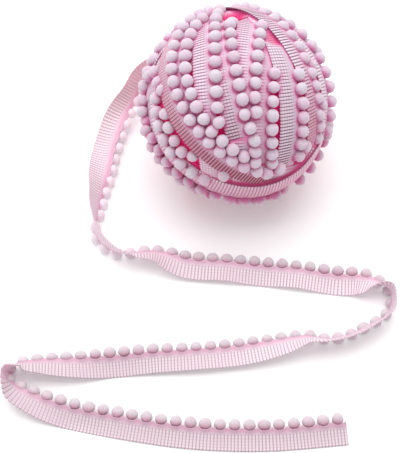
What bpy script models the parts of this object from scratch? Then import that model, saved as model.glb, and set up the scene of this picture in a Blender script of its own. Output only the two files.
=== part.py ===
"""A ball of pompom trim: a ribbed tape with a row of pompoms along one edge.

The tape is wound over itself, turn upon turn, into a ball that stands on a small flat
spot. Its loose end comes off the back of the ball, drops to the surface at the left and
lies in front of the ball in long flat runs. Where it turns back it stands up on its
pompoms.

Frame: metres, +Z up. The origin is the middle of the ball's flat spot on the surface.
Sizes below are in millimetres and degrees, and turn into metres as the solids are made.
"""
import math

import bmesh
import bpy
import numpy as np
from mathutils import Vector

MM = 0.001
UP = Vector((0, 0, 1))

# the trim
TAPE_WIDTH = 10.5        # from the selvedge to the edge that the pompoms hang on
TAPE_THICK = 1.0         # the cloth with its ribs
POMPOM_RADIUS = 2.8
POMPOM_PITCH = 6.8       # centre to centre along the tape
POMPOM_REACH = 0.9       # from the tape's edge out to a pompom's centre
EDGE_STRIP = 1.6         # width of the narrow strip that the pompoms are sewn to
PARTING = 0.5            # between solids, so that none touch

# the ball
BALL_CENTRE = Vector((0.0, 0.0, 46.5))
CORE_RADIUS = 41.6       # the turns that lie deeper than the ones in the table
POMPOM_RISE = 1.0        # of a pompom's centre over the outer face of its own turn
FLAT_RADIUS = 12.0       # of the spot that the ball stands on
FLAT_SIDES = 24
SKIRT = 0.35             # how far the rest of the ball stays above the surface
BALL_POMPOMS = 206       # the uppermost ones, which stand proud of the turns
BALL_POMPOM_GAP = 4.2    # the least from one to the next, measured at the core
EDGE_SPACING = 5.0       # between points along the edges of the ball's tape
EDGE_SLOPE = 0.4         # from a tape's edge to the points on either side of it
FILLER_CUTS = 5          # of the even points between them
CLEARANCES = {           # of the ball's points from the ones placed before them
    "pompom top": 1.0,
    "pompom side": 0.8,
    "pompom foot": 0.6,
    "tape edge": 0.75,
    "between": 2.2,
}

# Each turn is a band round the ball. "pole" is the azimuth and elevation of the axis
# that it goes round, and "offset" how far its middle line lies from the great circle
# toward that pole. Its pompoms stand along its edge nearer the pole. "radius" is the
# outer face of its tape. "bulge" is how much farther out a slack turn stands at the
# angle "bulge_at", and "arc" where it starts and ends. Both are counted from its
# highest point. Angles are in degrees and lengths in millimetres.
WHOLE = (-180, 180)
TURN_COLUMNS = ("name", "pole", "offset", "radius", "bulge", "bulge_at", "arc")
TURNS = (
    ("outer left", (-4, 60), 10.0, 45.0, 0, 0, WHOLE),
    ("second left", (-7, 56), 15.5, 44.5, 0, 0, WHOLE),
    ("left of the top", (0, 6), -16.2, 44.0, 0, 0, WHOLE),
    ("cut end", (6, 16), 3.9, 43.9, 0, 0, (-150, 56)),
    ("right of the top", (-6, 6), 9.2, 43.6, 0, 0, WHOLE),
    ("deep right", (-5, 4), 18.3, 43.0, 0, 0, WHOLE),
    ("inner right", (18, -14), 10.9, 43.9, 0, 0, WHOLE),
    ("outer right", (36, -20), 12.8, 44.6, 1.6, -50, WHOLE),
    ("right rim", (75, -50), -10.0, 44.4, 1.5, 150, WHOLE),
    ("front foot", (110, -66), -2.0, 43.4, 4.2, 172, WHOLE),
    ("lower left", (-81, 58), 17.5, 42.8, 1.9, 125, WHOLE),
    ("left rim", (-65, 60), -13.0, 43.9, 1.4, 90, WHOLE),
    ("left flank", (-170, -25), 12.0, 44.0, -5.0, -31, WHOLE),
    ("back", (100, 20), 14.0, 44.1, -5.0, -5, WHOLE),
    ("over the sides", (-82, 7), 0.0, 42.8, 0, 0, WHOLE),
    ("low back", (15, -54), 0.0, 43.2, 0, 0, WHOLE),
)

# The loose end, along the line of its pompoms' middles from the ball to the cut. "lean"
# turns the tape about that line: at 0 it lies out to the right of its travel, at 90 it
# stands up on its pompoms, and at 180 it lies out to the left.
ROUTE_COLUMNS = ("x", "y", "z", "lean")
ROUTE = (
    # off the back of the ball and down to the surface
    (-14.5, 43.8, 32, 76),
    (-27, 42.2, 26.5, 76),
    (-38, 38.8, 20, 75),
    (-47, 34.3, 13.5, 68),
    (-52, 25.5, 8.5, 48),
    (-57, 15, 4.6, 20),
    (-60, 4.5, 2.8, 8),
    # along the left side of the ball
    (-64, -16, 2.8, 32),
    (-66.2, -26, 2.8, 54),
    (-68, -36, 2.8, 68),
    # first bend, at the front left
    (-69.6, -48.5, 2.8, 96),
    (-64.6, -55.6, 2.8, 90),
    (-57.5, -59.3, 2.8, 76),
    (-50, -58.6, 2.8, 52),
    # first run, to the right
    (-40, -57.8, 2.8, 37),
    (-24, -61.2, 2.8, 0),
    (-4, -63, 2.8, 2),
    (12, -64.6, 2.8, -11),
    (29, -66.5, 2.8, 0),
    (49, -69.5, 2.8, -11),
    (62, -71, 2.8, 5),
    # second bend, at the right
    (69, -74.4, 2.8, 36),
    (73.7, -80.6, 2.8, 86),
    (73.7, -87.2, 2.8, 100),
    (70.5, -93, 2.8, 111),
    (62.5, -97.8, 2.8, 120),
    (53, -103, 2.8, 122),
    (43, -105.2, 2.8, 124),
    # second run, to the left
    (33, -103.6, 2.8, 133),
    (20, -105.2, 2.8, 156),
    (2, -108, 2.8, 173),
    (-20, -110.3, 2.8, 174),
    (-40, -111.2, 2.8, 183),
    (-60, -113, 2.8, 191),
    (-80, -115.2, 2.8, 168),
    (-96, -116.3, 2.8, 150),
    # third bend, at the left
    (-104.5, -118.2, 2.8, 134),
    (-108.6, -123.6, 2.8, 94),
    (-103, -128.8, 2.8, 38),
    (-94, -133.2, 2.8, 14),
    # last run, to the right, as far as the cut
    (-78.5, -138.3, 2.8, -11),
    (-51, -144, 2.8, -11),
    (-20, -148.5, 2.8, -11),
    (10, -149.5, 2.8, -11),
    (52.5, -146.0, 2.8, -11),
)
FIRST_POMPOM = 14.2      # along the loose end, where it is clear of the ball
CUT_MARGIN = 3.4         # from the last pompom's middle to the cut
POMPOM_ROOT = 1.2        # half the length along which a pompom is sewn on
POMPOM_RINGS = (         # out from the edge: distance, half length, half height
    (0.5, 2.6, 2.8),
    (2.6, 2.6, 2.7),
    (3.7, 1.5, 1.5),
)
RUNS = (                 # the edge strip's solids, with their count of pompoms
    ("edge_strip_drop", 7),
    ("edge_strip_side", 12),
    ("edge_strip_first_run", 20),
    ("edge_strip_second_bend", 4),
    ("edge_strip_second_run", 25),
    ("edge_strip_third_bend", 4),
    ("edge_strip_last_run", 10),
    ("edge_strip_cut_end", 11),
)

# colours
PINK = (0.86, 0.62, 0.74)
PALE_PINK = (0.92, 0.76, 0.84)
LILAC_WHITE = (0.88, 0.84, 0.88)


def unit_vector(azimuth, elevation):
    """The direction of an azimuth and elevation in degrees."""
    azimuth = math.radians(azimuth)
    elevation = math.radians(elevation)
    level = math.cos(elevation)
    return Vector((level * math.cos(azimuth), level * math.sin(azimuth), math.sin(elevation)))


class Turn:
    """One turn of the tape round the ball."""

    def __init__(self, row):
        values = dict(zip(TURN_COLUMNS, row))
        self.pole = unit_vector(*values["pole"])
        self.offset = math.radians(values["offset"])
        self.radius = values["radius"]
        self.bulge = values["bulge"]
        self.bulge_at = math.radians(values["bulge_at"])
        self.highest = self.radius + max(0.0, self.bulge)
        self.arc = values["arc"]
        self.top = (UP - self.pole * self.pole.z).normalized()
        self.side = self.pole.cross(self.top)
        self.half = 0.5 * TAPE_WIDTH / self.radius

    def direction(self, angle, across=0.0):
        """The direction at an angle along the turn and millimetres across it."""
        latitude = self.offset + across / self.radius
        along = self.top * math.cos(angle) + self.side * math.sin(angle)
        return along * math.cos(latitude) + self.pole * math.sin(latitude)

    def angle_of(self, direction):
        return math.atan2(direction.dot(self.side), direction.dot(self.top))

    def reach(self, direction):
        """The radius of the tape's outer face toward a direction."""
        swing = math.cos(self.angle_of(direction) - self.bulge_at)
        return self.radius + self.bulge * max(0.0, swing) ** 3

    def angles(self, spacing):
        """Even angles along the turn, about a spacing in millimetres apart."""
        start, end = (math.radians(value) for value in self.arc)
        girth = self.radius * math.cos(self.offset)
        count = round((end - start) * girth / spacing)
        return [start + (end - start) * (index + 0.5) / count for index in range(count)]

    def covers(self, direction):
        """Whether the turn's tape lies over a direction."""
        latitude = math.asin(max(-1.0, min(1.0, direction.dot(self.pole))))
        start, end = self.arc
        within = start <= math.degrees(self.angle_of(direction)) <= end
        return within and abs(latitude - self.offset) <= self.half


def buried(direction, turn, turns):
    """Whether a higher turn lies over a direction on this one."""
    reach = turn.reach(direction)
    return any(other.covers(direction) and other.reach(direction) > reach for other in turns)


class BallPompom:
    """A four-sided pompom that stands proud of the ball."""

    def __init__(self, turn, angle):
        self.direction = turn.direction(angle, TAPE_WIDTH / 2 + POMPOM_REACH)
        self.radius = turn.reach(self.direction) + POMPOM_RISE
        self.along = turn.pole.cross(self.direction).normalized()
        self.across = self.direction.cross(self.along)

    def corners(self, share):
        """The directions of a square's corners round the pompom, as a share of its size."""
        half = POMPOM_RADIUS * share
        middle = self.direction * self.radius
        signs = ((1, 1), (-1, 1), (-1, -1), (1, -1))
        return [(middle + self.along * half * a + self.across * half * b).normalized() for a, b in signs]

    def reach(self, direction):
        """The radius of its surface toward a direction, or 0 beside it."""
        aside = self.radius * max(abs(direction.dot(self.along)), abs(direction.dot(self.across)))
        if aside >= POMPOM_RADIUS:
            return 0.0
        height = math.sqrt(POMPOM_RADIUS ** 2 - aside ** 2)
        return self.radius * direction.dot(self.direction) + height


def proud_pompoms(turns):
    """Each pompom that shows, from the highest turn down."""
    found = []
    taken = np.zeros((0, 3))
    too_near = math.cos(BALL_POMPOM_GAP / CORE_RADIUS)
    for turn in sorted(turns, key=lambda item: -item.highest):
        for angle in turn.angles(POMPOM_PITCH):
            pompom = BallPompom(turn, angle)
            direction = np.array(pompom.direction)
            if buried(pompom.direction, turn, turns) or (taken @ direction > too_near).any():
                continue
            taken = np.vstack([taken, direction])
            found.append(pompom)
    return found[:BALL_POMPOMS]


def surface_radius(direction, turns, pompoms, centres):
    """How far out the ball reaches in a direction."""
    reach = max([CORE_RADIUS] + [turn.reach(direction) for turn in turns if turn.covers(direction)])
    near = centres @ np.array(direction) > math.cos(BALL_POMPOM_GAP / CORE_RADIUS)
    return max([reach] + [pompoms[index].reach(direction) for index in np.nonzero(near)[0]])


def ball_directions(turns, pompoms):
    """Where the ball's points lie: at its flat spot, pompoms, tape edges and in between."""
    slope = math.degrees(math.atan2(-BALL_CENTRE.z, FLAT_RADIUS))
    rim = [unit_vector(360 * index / FLAT_SIDES, slope) for index in range(FLAT_SIDES)]
    lowest = rim[0].z + 0.01
    edges = []
    for turn in sorted(turns, key=lambda item: -item.highest):
        for angle in turn.angles(EDGE_SPACING):
            for edge in (-TAPE_WIDTH / 2, TAPE_WIDTH / 2):
                pair = [turn.direction(angle, edge + step) for step in (-EDGE_SLOPE, EDGE_SLOPE)]
                if not any(buried(point, turn, turns) for point in pair):
                    edges.extend(pair)
    filler = bmesh.new()
    bmesh.ops.create_icosphere(filler, subdivisions=FILLER_CUTS, radius=1.0)
    between = [vert.co.normalized() for vert in filler.verts]
    filler.free()
    groups = {
        "pompom top": [corner for pompom in pompoms for corner in pompom.corners(0.43)],
        "pompom side": [corner for pompom in pompoms for corner in pompom.corners(0.86)],
        "pompom foot": [corner for pompom in pompoms for corner in pompom.corners(1.09)],
        "tape edge": edges,
        "between": between,
    }
    chosen = np.array([tuple(direction) for direction in rim])
    for place, directions in groups.items():
        limit = math.cos(CLEARANCES[place] / CORE_RADIUS)
        for direction in directions:
            point = np.array(direction)
            if direction.z > lowest and (chosen @ point).max() < limit:
                chosen = np.vstack([chosen, point])
    return [Vector(point) for point in chosen]


def wound_ball(turns):
    """The ball as one solid: its turns and pompoms, as far out as they reach."""
    pompoms = proud_pompoms(turns)
    centres = np.array([tuple(pompom.direction) for pompom in pompoms])
    mesh = bmesh.new()
    for direction in ball_directions(turns, pompoms):
        mesh.verts.new(direction)
    bmesh.ops.convex_hull(mesh, input=mesh.verts)
    spot = math.cos(math.atan2(FLAT_RADIUS, BALL_CENTRE.z)) - 1e-6
    for vert in mesh.verts:
        direction = vert.co.normalized()
        reach = surface_radius(direction, turns, pompoms, centres)
        if -direction.z >= spot:
            reach = BALL_CENTRE.z / -direction.z
        elif direction.z < 0:
            reach = min(reach, (BALL_CENTRE.z - SKIRT) / -direction.z)
        vert.co = (BALL_CENTRE + direction * reach) * MM
    return mesh


class Route:
    """The smooth line through the route's rows, measured by its length."""

    def __init__(self, rows, step=0.25):
        points = np.array(rows, dtype=float)
        places = []
        for index in range(len(points) - 1):
            before, start, end, after = points[np.clip(range(index - 1, index + 3), 0, len(points) - 1)]
            count = max(2, round(np.linalg.norm((end - start)[:3]) / step))
            for part in np.arange(count) / count:
                places.append(self.between(before, start, end, after, part))
        places.append(points[-1])
        self.places = np.array(places)
        steps = np.linalg.norm(np.diff(self.places[:, :3], axis=0), axis=1)
        self.lengths = np.concatenate([[0.0], np.cumsum(steps)])
        self.length = self.lengths[-1]

    @staticmethod
    def between(before, start, end, after, part):
        """A point of the Catmull-Rom curve from start to end, with chord-length knots."""
        gaps = [max(1.0, np.linalg.norm((b - a)[:3])) for a, b in
                ((before, start), (start, end), (end, after))]
        leaving = (end - start) / gaps[1]
        arriving = leaving
        if gaps[0] > 1.0:
            leaving = ((start - before) / gaps[0] * gaps[1] + leaving * gaps[0]) / (gaps[0] + gaps[1])
        if gaps[2] > 1.0:
            arriving = ((after - end) / gaps[2] * gaps[1] + arriving * gaps[2]) / (gaps[1] + gaps[2])
        square, cube = part ** 2, part ** 3
        return (start * (2 * cube - 3 * square + 1) + leaving * gaps[1] * (cube - 2 * square + part)
                + end * (3 * square - 2 * cube) + arriving * gaps[1] * (cube - square))

    def values(self, length):
        """The route's columns at a length along it."""
        columns = self.places.T
        return {name: np.interp(length, self.lengths, column) for name, column in zip(ROUTE_COLUMNS, columns)}

    def point(self, length):
        values = self.values(length)
        return Vector((values["x"], values["y"], values["z"]))


class Section:
    """The trim's cross-section at a length along the route."""

    def __init__(self, route, length):
        self.middle = route.point(length)
        self.travel = (route.point(length + 0.5) - route.point(length - 0.5)).normalized()
        right = self.travel.cross(UP).normalized()
        over = right.cross(self.travel)
        lean = math.radians(route.values(length)["lean"])
        self.width = right * math.cos(lean) + over * math.sin(lean)
        self.face = self.travel.cross(self.width)
        self.edge = self.middle + self.width * POMPOM_REACH

    def at(self, across, above, along=0.0):
        """A point: across from the pompom edge, above the cloth's middle, and along it."""
        return self.edge + self.width * across + self.face * above + self.travel * along


def trim_box(start, end, inner, outer, middles):
    """A flat box of the trim, as (length along, across, above), cut at each pompom's root."""
    mesh = bmesh.new()
    bmesh.ops.create_cube(mesh, size=1.0)
    for vert in mesh.verts:
        vert.co.x = end if vert.co.x > 0 else start
        vert.co.y = outer if vert.co.y > 0 else inner
        vert.co.z *= TAPE_THICK
    for length in np.sort(np.concatenate([middles - POMPOM_ROOT, middles + POMPOM_ROOT])):
        whole = mesh.verts[:] + mesh.edges[:] + mesh.faces[:]
        bmesh.ops.bisect_plane(mesh, geom=whole, plane_co=(length, 0, 0), plane_no=(1, 0, 0), dist=1e-4)
    return mesh


def grow_pompom(mesh, middle):
    """Draw a four-sided pompom out of the strip's edge, at a length along the trim."""
    def is_root(face):
        centre = face.calc_center_median()
        return abs(centre.x - middle) < 0.1 and abs(centre.y) < 1e-4

    face = next(face for face in mesh.faces if is_root(face))
    for across, half_length, half_height in POMPOM_RINGS:
        face = bmesh.ops.extrude_discrete_faces(mesh, faces=[face])["faces"][0]
        for vert in face.verts:
            vert.co.x = middle + math.copysign(half_length, vert.co.x - middle)
            vert.co.y = -across
            vert.co.z = math.copysign(half_height, vert.co.z)


def lay_along(mesh, route, middles):
    """Carry a flat piece of the trim onto the route. A pompom stays square to its root."""
    for vert in mesh.verts:
        length, across, above = vert.co
        along = 0.0
        if across < -1e-4:
            middle = middles[np.abs(middles - length).argmin()]
            length, along = middle, length - middle
        place = Section(route, length).at(across, above, along)
        place.z = max(place.z, 0.0)
        vert.co = place * MM


def new_object(name, mesh, colour, roughness):
    """An object of a finished mesh, with its own material."""
    data = bpy.data.meshes.new(name)
    mesh.to_mesh(data)
    mesh.free()
    material = bpy.data.materials.new(name)
    material.use_nodes = True
    shader = material.node_tree.nodes["Principled BSDF"]
    shader.inputs["Base Color"].default_value = (*colour, 1.0)
    shader.inputs["Roughness"].default_value = roughness
    data.materials.append(material)
    thing = bpy.data.objects.new(name, data)
    PARTS.objects.link(thing)


def build():
    new_object("wound_ball", wound_ball([Turn(row) for row in TURNS]), PINK, 0.85)

    route = Route(ROUTE)
    count = int((route.length - FIRST_POMPOM - CUT_MARGIN) / POMPOM_PITCH) + 1
    middles = FIRST_POMPOM + POMPOM_PITCH * np.arange(count)
    end = middles[-1] + CUT_MARGIN
    clear_of_ball = middles[0] - POMPOM_PITCH
    tape = trim_box(0, end, EDGE_STRIP + PARTING, TAPE_WIDTH, np.append(clear_of_ball, middles))
    lay_along(tape, route, middles)
    new_object("tail_tape", tape, PALE_PINK, 0.7)

    first = 0
    for name, pompoms in RUNS:
        run = middles[first:first + pompoms]
        first += pompoms
        start = run[0] - POMPOM_PITCH / 2 + PARTING / 2
        stop = run[-1] + POMPOM_PITCH / 2 - PARTING / 2
        strip = trim_box(start, stop, 0, EDGE_STRIP, run)
        for middle in run:
            grow_pompom(strip, middle)
        lay_along(strip, route, run)
        new_object(name, strip, LILAC_WHITE, 0.9)


for old in list(bpy.data.objects):
    bpy.data.objects.remove(old, do_unlink=True)
PARTS = bpy.data.collections.new("pompom_trim_ball")
bpy.context.scene.collection.children.link(PARTS)
build()
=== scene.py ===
"""Looks for a ball of pompom trim with a loose end.

The trim is a ribbed tape with a plain header band along one edge, and pompoms sewn under
that edge. Turns of it lie over each other round the ball. Its loose end comes off the
back of the ball and lies in front of it in long runs.

Sizes are in millimetres and degrees until a point becomes a vertex.
"""
import math
import random

import bmesh
import bpy
import numpy as np
from mathutils import Euler, Matrix, Vector
from mathutils.kdtree import KDTree


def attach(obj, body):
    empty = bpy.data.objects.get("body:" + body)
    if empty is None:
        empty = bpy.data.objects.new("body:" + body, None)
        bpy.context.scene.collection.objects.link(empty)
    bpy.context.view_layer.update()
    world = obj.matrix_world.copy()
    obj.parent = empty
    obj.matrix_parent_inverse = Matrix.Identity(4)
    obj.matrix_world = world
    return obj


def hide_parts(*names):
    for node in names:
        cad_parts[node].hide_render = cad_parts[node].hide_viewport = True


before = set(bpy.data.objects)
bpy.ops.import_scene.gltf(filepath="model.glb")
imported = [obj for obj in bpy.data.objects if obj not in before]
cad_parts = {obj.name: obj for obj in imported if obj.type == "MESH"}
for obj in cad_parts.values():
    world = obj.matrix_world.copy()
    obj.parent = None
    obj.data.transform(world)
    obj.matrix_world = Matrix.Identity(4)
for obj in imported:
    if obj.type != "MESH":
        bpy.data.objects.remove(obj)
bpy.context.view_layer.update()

MM = 0.001
UP = Vector((0, 0, 1))


def unit_vector(azimuth, elevation):
    """The direction at an azimuth and an elevation in degrees."""
    azimuth = math.radians(azimuth)
    elevation = math.radians(elevation)
    level = math.cos(elevation)
    return Vector((level * math.cos(azimuth), level * math.sin(azimuth), math.sin(elevation)))


# ---------------------------------------------------------------- the trim's sizes
TAPE_WIDTH = 10.5        # of the loose end, from the selvedge to the header edge
HEADER_WIDTH = 2.9       # the plain band along the header edge
CLOTH_THICK = 0.45
RIB_PITCH = 1.55
RIB_RISE = 0.17          # of a rib's crest over the cloth's middle face
SCALLOP = 0.24           # of the selvedge, out at each rib
SELVEDGE_DROP = 0.12     # of the selvedge, below the ribs beside it
HEADER_DROP = 0.05       # of the header edge, below the band beside it
RIB_STEPS = 4            # in which a rib is modelled
DEEP_RIB_STEPS = 2       # the same for a turn that is mostly hidden
WEAVE_SCALE = 0.01       # from millimetres to the tape's weave coordinates
POMPOM_RADIUS = 3.0      # to the tips of the pile, along the loose end
BALL_POMPOM_RADIUS = 3.1
POMPOM_PITCH = 6.8
POMPOM_REACH = 0.9       # from the header edge out to a pompom's middle
STRETCHES = (0.92, 1.06)  # of a pompom, along each of its own three axes
PILE_LENGTHS = (0.95, 1.04)  # of single strands of the pile, as shares of the pompom
SURFACE_GAP = 0.05       # under what rests on the surface
# where the cloth's lengthwise lines lie, from the header edge to the selvedge
LINES_ACROSS = (0.0, 0.25, 1.1, 2.1, 2.85, 3.25, 5.4, 7.4, 9.2, 10.2, 10.5)

# ---------------------------------------------------------------- the ball
BALL_CENTRE = Vector((0.0, 0.0, 46.5))
WHOLE = (-180, 180)
TURN_COLUMNS = ("name", "pole", "offset", "radius", "bulge", "bulge_at", "arc")
TURNS = (
    ("outer_left", (-4, 60), 10.0, 45.0, 0, 0, WHOLE),
    ("second_left", (-7, 56), 15.5, 44.5, 0, 0, WHOLE),
    ("left_of_top", (0, 6), -16.2, 44.0, 0, 0, WHOLE),
    ("cut_end", (6, 16), 3.9, 43.9, 0, 0, (-150, 56)),
    ("right_of_top", (-6, 6), 9.2, 43.6, 0, 0, WHOLE),
    ("deep_right", (-5, 4), 18.3, 43.0, 0, 0, WHOLE),
    ("inner_right", (18, -14), 10.9, 43.9, 0, 0, WHOLE),
    ("outer_right", (36, -20), 12.8, 44.6, 1.6, -50, WHOLE),
    ("right_rim", (75, -50), -10.0, 44.4, 1.5, 150, WHOLE),
    ("front_foot", (110, -66), -5.6, 43.6, 3.6, 172, WHOLE),
    ("lower_left", (-81, 58), 17.5, 42.8, 1.9, 125, WHOLE),
    ("left_rim", (-65, 60), -13.0, 43.9, 1.4, 90, WHOLE),
    ("left_flank", (-170, -25), 12.0, 44.0, -5.0, -31, WHOLE),
    ("back", (100, 20), 14.0, 44.1, -5.0, -5, WHOLE),
    ("over_sides", (-82, 7), 0.0, 42.8, 0, 0, WHOLE),
    ("low_back", (15, -54), 0.0, 43.2, 0, 0, WHOLE),
)
# how wide a turn looks from the selvedge to the header edge, how near black the gaps between
# its ribs are, with painted shade in the grooves, and how strong the painted shade on its lower
# front is, both up to 1, and how far its pompoms are tucked under its header edge
LOOK_COLUMNS = ("width", "rib_shade", "lower_shade", "tuck")
TURN_LOOKS = {
    "inner_right": (11.3, 0.75, 0.0, 0.0),
    "cut_end": (10.8, 1.0, 0.5, 0.0),
    "outer_left": (10.2, 0.8, 1.0, 0.0),
    "outer_right": (10.5, 0.65, 0.8, 1.3),
    "front_foot": (16.0, 0.3, 0.0, 0.0),
    "left_rim": (9.0, 0.1, 0.0, 0.0),
    "lower_left": (9.4, 0.2, 0.0, 0.0),
}
OTHER_LOOK = (TAPE_WIDTH, 0.35, 0.0, 0.0)
LOWER_SHADE_HEIGHTS = (88.0, 62.0)  # heights where the painted shade on the lower front has gone, and where it is full
BULGE_POWER = 3          # how steeply a turn's bulge falls away from its middle
DEEP_TURNS = (
    ("deep_a", (-20, 40), 4.0, 42.2, 0, 0, WHOLE),
    ("deep_b", (30, 8), -14.0, 42.0, 0, 0, WHOLE),
    ("deep_c", (60, 35), 10.0, 41.8, 0, 0, WHOLE),
    ("deep_d", (-50, 10), 12.0, 42.1, 0, 0, WHOLE),
    ("deep_e", (-85, 40), 8.0, 41.9, 0, 0, WHOLE),
    ("deep_f", (130, 5), 6.0, 42.0, 0, 0, WHOLE),
    ("deep_g", (-81, 58), 24.3, 41.8, 1.4, 125, WHOLE),
)
HOLLOW_COLUMNS = ("azimuth", "elevation", "reach", "sink", "spanned_by")
HOLLOWS = (
    (96, 54, 8.0, 2.4, "outer_right"),
    (29, 65, 6.0, 1.2, "outer_right"),
)
HOLLOW_FLAT = 0.3        # share of a hollow's reach within which it is deepest
HIDING_SINK = 0.3        # of a turn in a hollow, from which its pompoms are hidden
# where the foot's turn presses the pompoms of the others out of sight, and how far around
FOOT_TURN = "front_foot"
BARE_SPOTS = ((unit_vector(-81, -5), 6.5), (unit_vector(-58, 3), 7.0))
FULL_SINK = 2.0          # of a tape in a hollow, from which its painted recess shade and glow are full
INNER_RADIUS = 40.6      # of the even layer under all of them
INNER_POLE = (70, 25)
INNER_BANDS = 9
CROWDED_GAP = 3.4        # between two pompoms, below which the deeper one is left out
PRESSED_GAP = 5.4        # between two pompoms that press on each other
PRESSES = 8              # how many times they give way
PRESSING_POMPOMS = 3     # beside each one, at most
PRESS_SHARE = 0.35       # of what is missing between two, by which one gives way each time
SAME_PLACE = 0.01        # between two pompoms, below which they are one
BALL_POMPOM_GAP = 0.1    # under the ball's lowest pompoms
POMPOM_RISE = 1.0        # of a pompom's middle over the outer face of its own turn
HIDING_RISE = 0.45       # of a tape over a turn whose pompoms it hides
DEEP_MARGIN = 1.2        # from a tape's edge, within which it hides deep pompoms as well
# away from the lower side of a pompom, where painted shade makes the pile and the tape below it
# deeper pink
SHADE_AWAY = Vector((0.0, 0.35, 0.4))
ROOT_INWARD = 0.7        # how far a pompom's root lies towards the ball's centre
ROOT_SIDEWAYS = 0.4      # and towards its own tape
SHADE_DROP = 2.4         # how far down that way the middle of the painted shade a pompom casts on the tape lies
TAPE_SHADE_REACH = (5.0, 2.9)   # from the middle of that painted shade
LOOSE_TAPE_SHADE_REACH = (4.7, 3.3)  # painted shade on the tape, from the middle of a loose pompom
TUFT_SHADE_REACH = (4.8, 2.7)   # painted shade on a pompom, from the next pompom's middle
LOOSE_TUFT_SHADE_REACH = (4.3, 2.9)  # the same painted shade along the loose end
# from the edge of a turn lying over, where the painted shade and glow on the cloth beneath
# begin, and where they are full
CREVICE = (0.9, -0.2)
OVER_MARGIN = 0.15       # how much farther out such a turn lies at least
END_SHADE = 5.0          # how many times further that painted shade reaches past a turn's cut end
FLOOR_CLEARANCE = 0.35   # of the ball above the surface, round its flat spot
SEAM = 1e-4              # between the two ends of a whole turn, which are merged

# ---------------------------------------------------------------- the loose end
ROUTE_COLUMNS = ("x", "y", "z", "lean")
LYING = 2.8              # height of the pompoms' middles, where they lie on the surface
ROW_GAP = 1.0            # between two rows, below which they are one
ROUTE_STEP = 0.25        # between the points of the smooth line through them
LEAD_IN = (
    (14.0, 42.6, 40.5, 76),
    (0.0, 44.8, 37.0, 76),
)
ROUTE = (
    # off the back of the ball and down to the surface
    (-14.5, 43.8, 32, 76),
    (-27, 42.2, 26.5, 76),
    (-38, 38.8, 20, 75),
    (-47, 34.3, 13.5, 68),
    (-52, 25.5, 8.5, 48),
    (-57, 15, 4.6, 20),
    (-60, 4.5, LYING, 8),
    # along the left side of the ball
    (-64, -16, LYING, 32),
    (-66.2, -26, LYING, 54),
    (-68, -36, LYING, 68),
    # first bend, at the front left
    (-69.6, -48.5, LYING, 96),
    (-64.6, -55.6, LYING, 90),
    (-57.5, -59.3, LYING, 76),
    (-50, -58.6, LYING, 52),
    # first run, to the right
    (-40, -57.8, LYING, 37),
    (-24, -61.2, LYING, 0),
    (-4, -63, LYING, 2),
    (12, -64.6, LYING, -11),
    (29, -66.5, LYING, 0),
    (49, -69.5, LYING, -11),
    (62, -71, LYING, 5),
    # second bend, at the right
    (69, -74.4, LYING, 36),
    (73.7, -80.6, LYING, 87),
    (73.7, -87.2, LYING, 97),
    (70.5, -93, LYING, 107),
    (62.5, -97.8, LYING, 116),
    (53, -103, LYING, 117),
    (43, -105.2, LYING, 120),
    # second run, to the left
    (33, -103.6, LYING, 133),
    (20, -105.2, LYING, 156),
    (2, -108, LYING, 173),
    (-20, -110.3, LYING, 174),
    (-40, -111.2, LYING, 183),
    (-60, -113, LYING, 191),
    (-80, -115.2, LYING, 165),
    (-96, -116.3, LYING, 144),
    # third bend, at the left
    (-104.5, -118.2, LYING, 125),
    (-108.6, -123.6, LYING, 94),
    (-103, -128.8, LYING, 38),
    (-94, -133.2, LYING, 14),
    # last run, to the right, as far as the cut
    (-78.5, -138.3, LYING, -11),
    (-51, -144, LYING, -11),
    (-20, -148.5, LYING, -11),
    (10, -149.5, LYING, -11),
    (52.5, -146.0, LYING, -11),
)
FIRST_POMPOM = 14.2      # past the first row of the route
CUT_MARGIN = 3.4         # from the last pompom's middle to the cut
LOOSE_OUT = 0.7          # how much farther out the loose end's pompoms sit
FOLD_ROW = -7            # of the route, where the tape folds back at the third bend
FOLD_LENGTHS = (20.0, 5.0)  # away from that row, where the painted glow of the fold fades in
FOLD_PAINTED_LIGHT = 0.4      # painted light on the pompoms there
SECTION_STEP = 0.5       # along the route each way, over which its direction is taken
HEADER_LIFT = 2.0        # of the header edge over the pompoms' middles
LIFT_SHARE = 0.6         # of the tape's width, over which that lift falls away
LIFT_POWER = 1.5         # how steeply it does
SHOWN_POWER = 3          # how quickly it falls off as the tape turns on its edge
HEADER_ROLL = 1.5        # of the header edge, back off each pompom
PUFF = 1.3               # of the header edge, out again between two pompoms
PUFF_POWER = 2           # how narrow that puff is
# along it, as far as the header edge laps over the pompoms at all, and wholly
LAP_LENGTHS = (172.0, 140.0)
LAP_ROLL = -1.7          # of that header edge, on over each pompom
LAP_LIFT = 1.0           # of that header edge, higher than elsewhere
LAP_FLATNESS = 0.6       # share of the puff that is missing there
TUCK_MIDDLE = 1.1        # from the header edge, where the painted shade between two pompoms is deepest
TUCK_SHADE = 0.8         # how deep that painted shade is
# how level the tape's face is where its ribs begin to flatten, and where they are flattest
TAUT = (0.6, 0.25)
DROP_TONE = (48.0, 120.0)  # along it, as far as its salmon tint and painted salmon glow are full, and show at all
END_SHADE_LENGTHS = (340.0, 450.0)  # along it, where the painted shade on its far stretch begins, and where it is full
PAINTED_LIGHT_LENGTHS = (230.0, 110.0)  # along it, as far as its pompoms carry painted light at all, and wholly

RANDOM = random.Random(17)


def closeness(distance, far, near):
    """0 at the far distance, rising smoothly to 1 at the near one."""
    share = min(1.0, max(0.0, (far - distance) / (far - near)))
    return share * share * (3 - 2 * share)


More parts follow.
